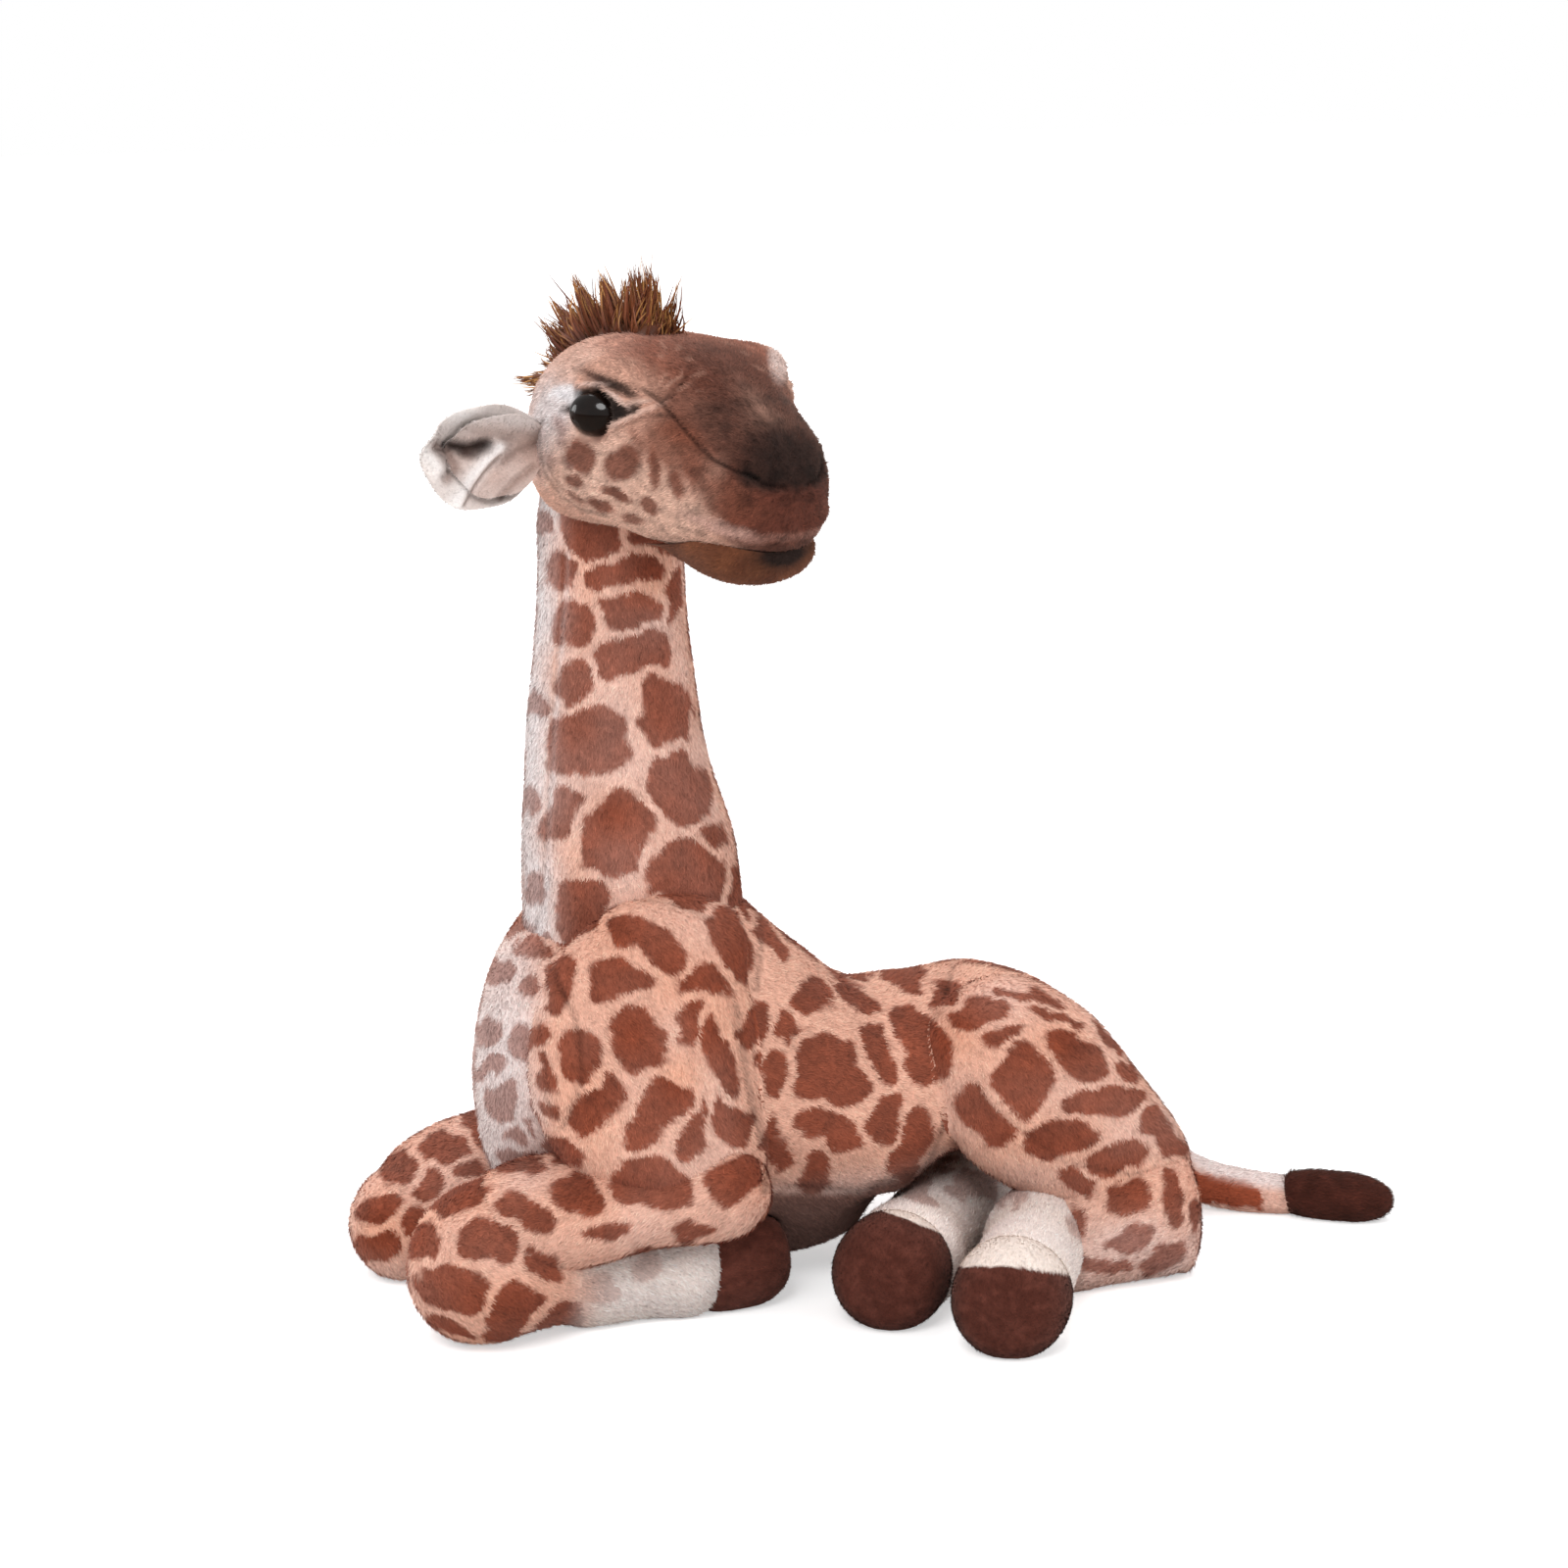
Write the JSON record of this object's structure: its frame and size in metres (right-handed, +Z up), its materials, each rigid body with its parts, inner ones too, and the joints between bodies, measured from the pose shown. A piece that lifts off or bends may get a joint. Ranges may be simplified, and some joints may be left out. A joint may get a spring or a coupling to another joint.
{
  "type": "plush giraffe",
  "caption": "Soft stuffed giraffe lying with folded legs and an upright neck, its head turned back to one side, with flap ears, a tufted mane and a tail that trails behind.",
  "frame": {"origin": "on the flat underside of the breast, in the animal's middle plane", "axes": "the body faces -X, its left side is -Y, +Z up from the surface it lies on"},
  "size_m": [0.3846, 0.2038, 0.3708],
  "materials": {
    "patched_plush": "short soft pile, reddish-brown patches on a peach ground",
    "cream_plush": "short soft cream pile with faint spots",
    "dark_brown_plush": "short dark brown pile",
    "cream_velour": "smooth velour",
    "mane_pile": "long brushed pile, brown with lighter tips",
    "safety_eye": "polished dome",
    "washer_nylon": "moulded nylon"
  },
  "bodies": {
    "body": {"torso": "patched_plush", "shoulder_left": "patched_plush", "shoulder_right": "patched_plush", "forearm_left": "patched_plush", "forearm_right": "patched_plush", "thigh_left": "patched_plush", "thigh_right": "patched_plush", "shin_left": "patched_plush", "shin_right": "patched_plush"},
    "neck": {"neck": "patched_plush"},
    "head": {"head": "patched_plush", "chin": "patched_plush", "mane": "mane_pile", "eye_left": "safety_eye", "eye_right": "safety_eye", "eye_washer_left": "washer_nylon", "eye_washer_right": "washer_nylon"},
    "ear_left": {"ear_back_left": "cream_velour", "ear_lining_left": "cream_velour"},
    "ear_right": {"ear_back_right": "cream_velour", "ear_lining_right": "cream_velour"},
    "foreleg_left": {"front_cannon_left": "cream_plush", "front_hoof_left": "dark_brown_plush"},
    "foreleg_right": {"front_cannon_right": "cream_plush", "front_hoof_right": "dark_brown_plush"},
    "hind_foot_left": {"rear_foot_left": "cream_plush", "rear_hoof_left": "dark_brown_plush"},
    "hind_foot_right": {"rear_foot_right": "cream_plush", "rear_hoof_right": "dark_brown_plush"},
    "tail": {"tail": "patched_plush", "tail_tuft": "dark_brown_plush"}
  },
  "joints": [
    {"name": "neck_lean", "type": "hinge", "parent": "body", "child": "neck", "pos_m": [-0.01, 0, 0.15], "axis": [0, 1, 0], "range_deg": [-6, 6], "stiffness_Nm_per_rad": 2.5},
    {"name": "head_turn", "type": "hinge", "parent": "neck", "child": "head", "pos_m": [-0.017, 0, 0.284], "axis": [0, 0, 1], "range_deg": [-18, 18], "stiffness_Nm_per_rad": 0.4},
    {"name": "ear_flap_left", "type": "hinge", "parent": "head", "child": "ear_left", "pos_m": [0.01488, 0.006, 0.3106], "axis": [0.4673, -0.8838, -0.0221], "range_deg": [-10, 10], "stiffness_Nm_per_rad": 0.02},
    {"name": "ear_flap_right", "type": "hinge", "parent": "head", "child": "ear_right", "pos_m": [-0.04722, -0.01181, 0.3106], "axis": [0.0721, -0.9972, -0.0221], "range_deg": [-10, 10], "stiffness_Nm_per_rad": 0.02},
    {"name": "knee_left", "type": "hinge", "parent": "body", "child": "foreleg_left", "pos_m": [-0.077, -0.037, 0.0282], "axis": [0, 0, 1], "range_deg": [-12, 0], "stiffness_Nm_per_rad": 0.15},
    {"name": "knee_right", "type": "hinge", "parent": "body", "child": "foreleg_right", "pos_m": [-0.084, 0.037, 0.0212], "axis": [0, 0, 1], "range_deg": [0, 12], "stiffness_Nm_per_rad": 0.15},
    {"name": "ankle_left", "type": "hinge", "parent": "body", "child": "hind_foot_left", "pos_m": [0.124, -0.058, 0.0187], "axis": [0, 0, 1], "range_deg": [-5, 12], "stiffness_Nm_per_rad": 0.15},
    {"name": "ankle_right", "type": "hinge", "parent": "body", "child": "hind_foot_right", "pos_m": [0.138, 0.022, 0.0187], "axis": [0, 0, 1], "range_deg": [-4, 2], "stiffness_Nm_per_rad": 0.15},
    {"name": "tail_swing", "type": "hinge", "parent": "body", "child": "tail", "pos_m": [0.168, 0, 0.058], "axis": [0, 0, 1], "range_deg": [-20, 15], "stiffness_Nm_per_rad": 0.04}
  ]
}
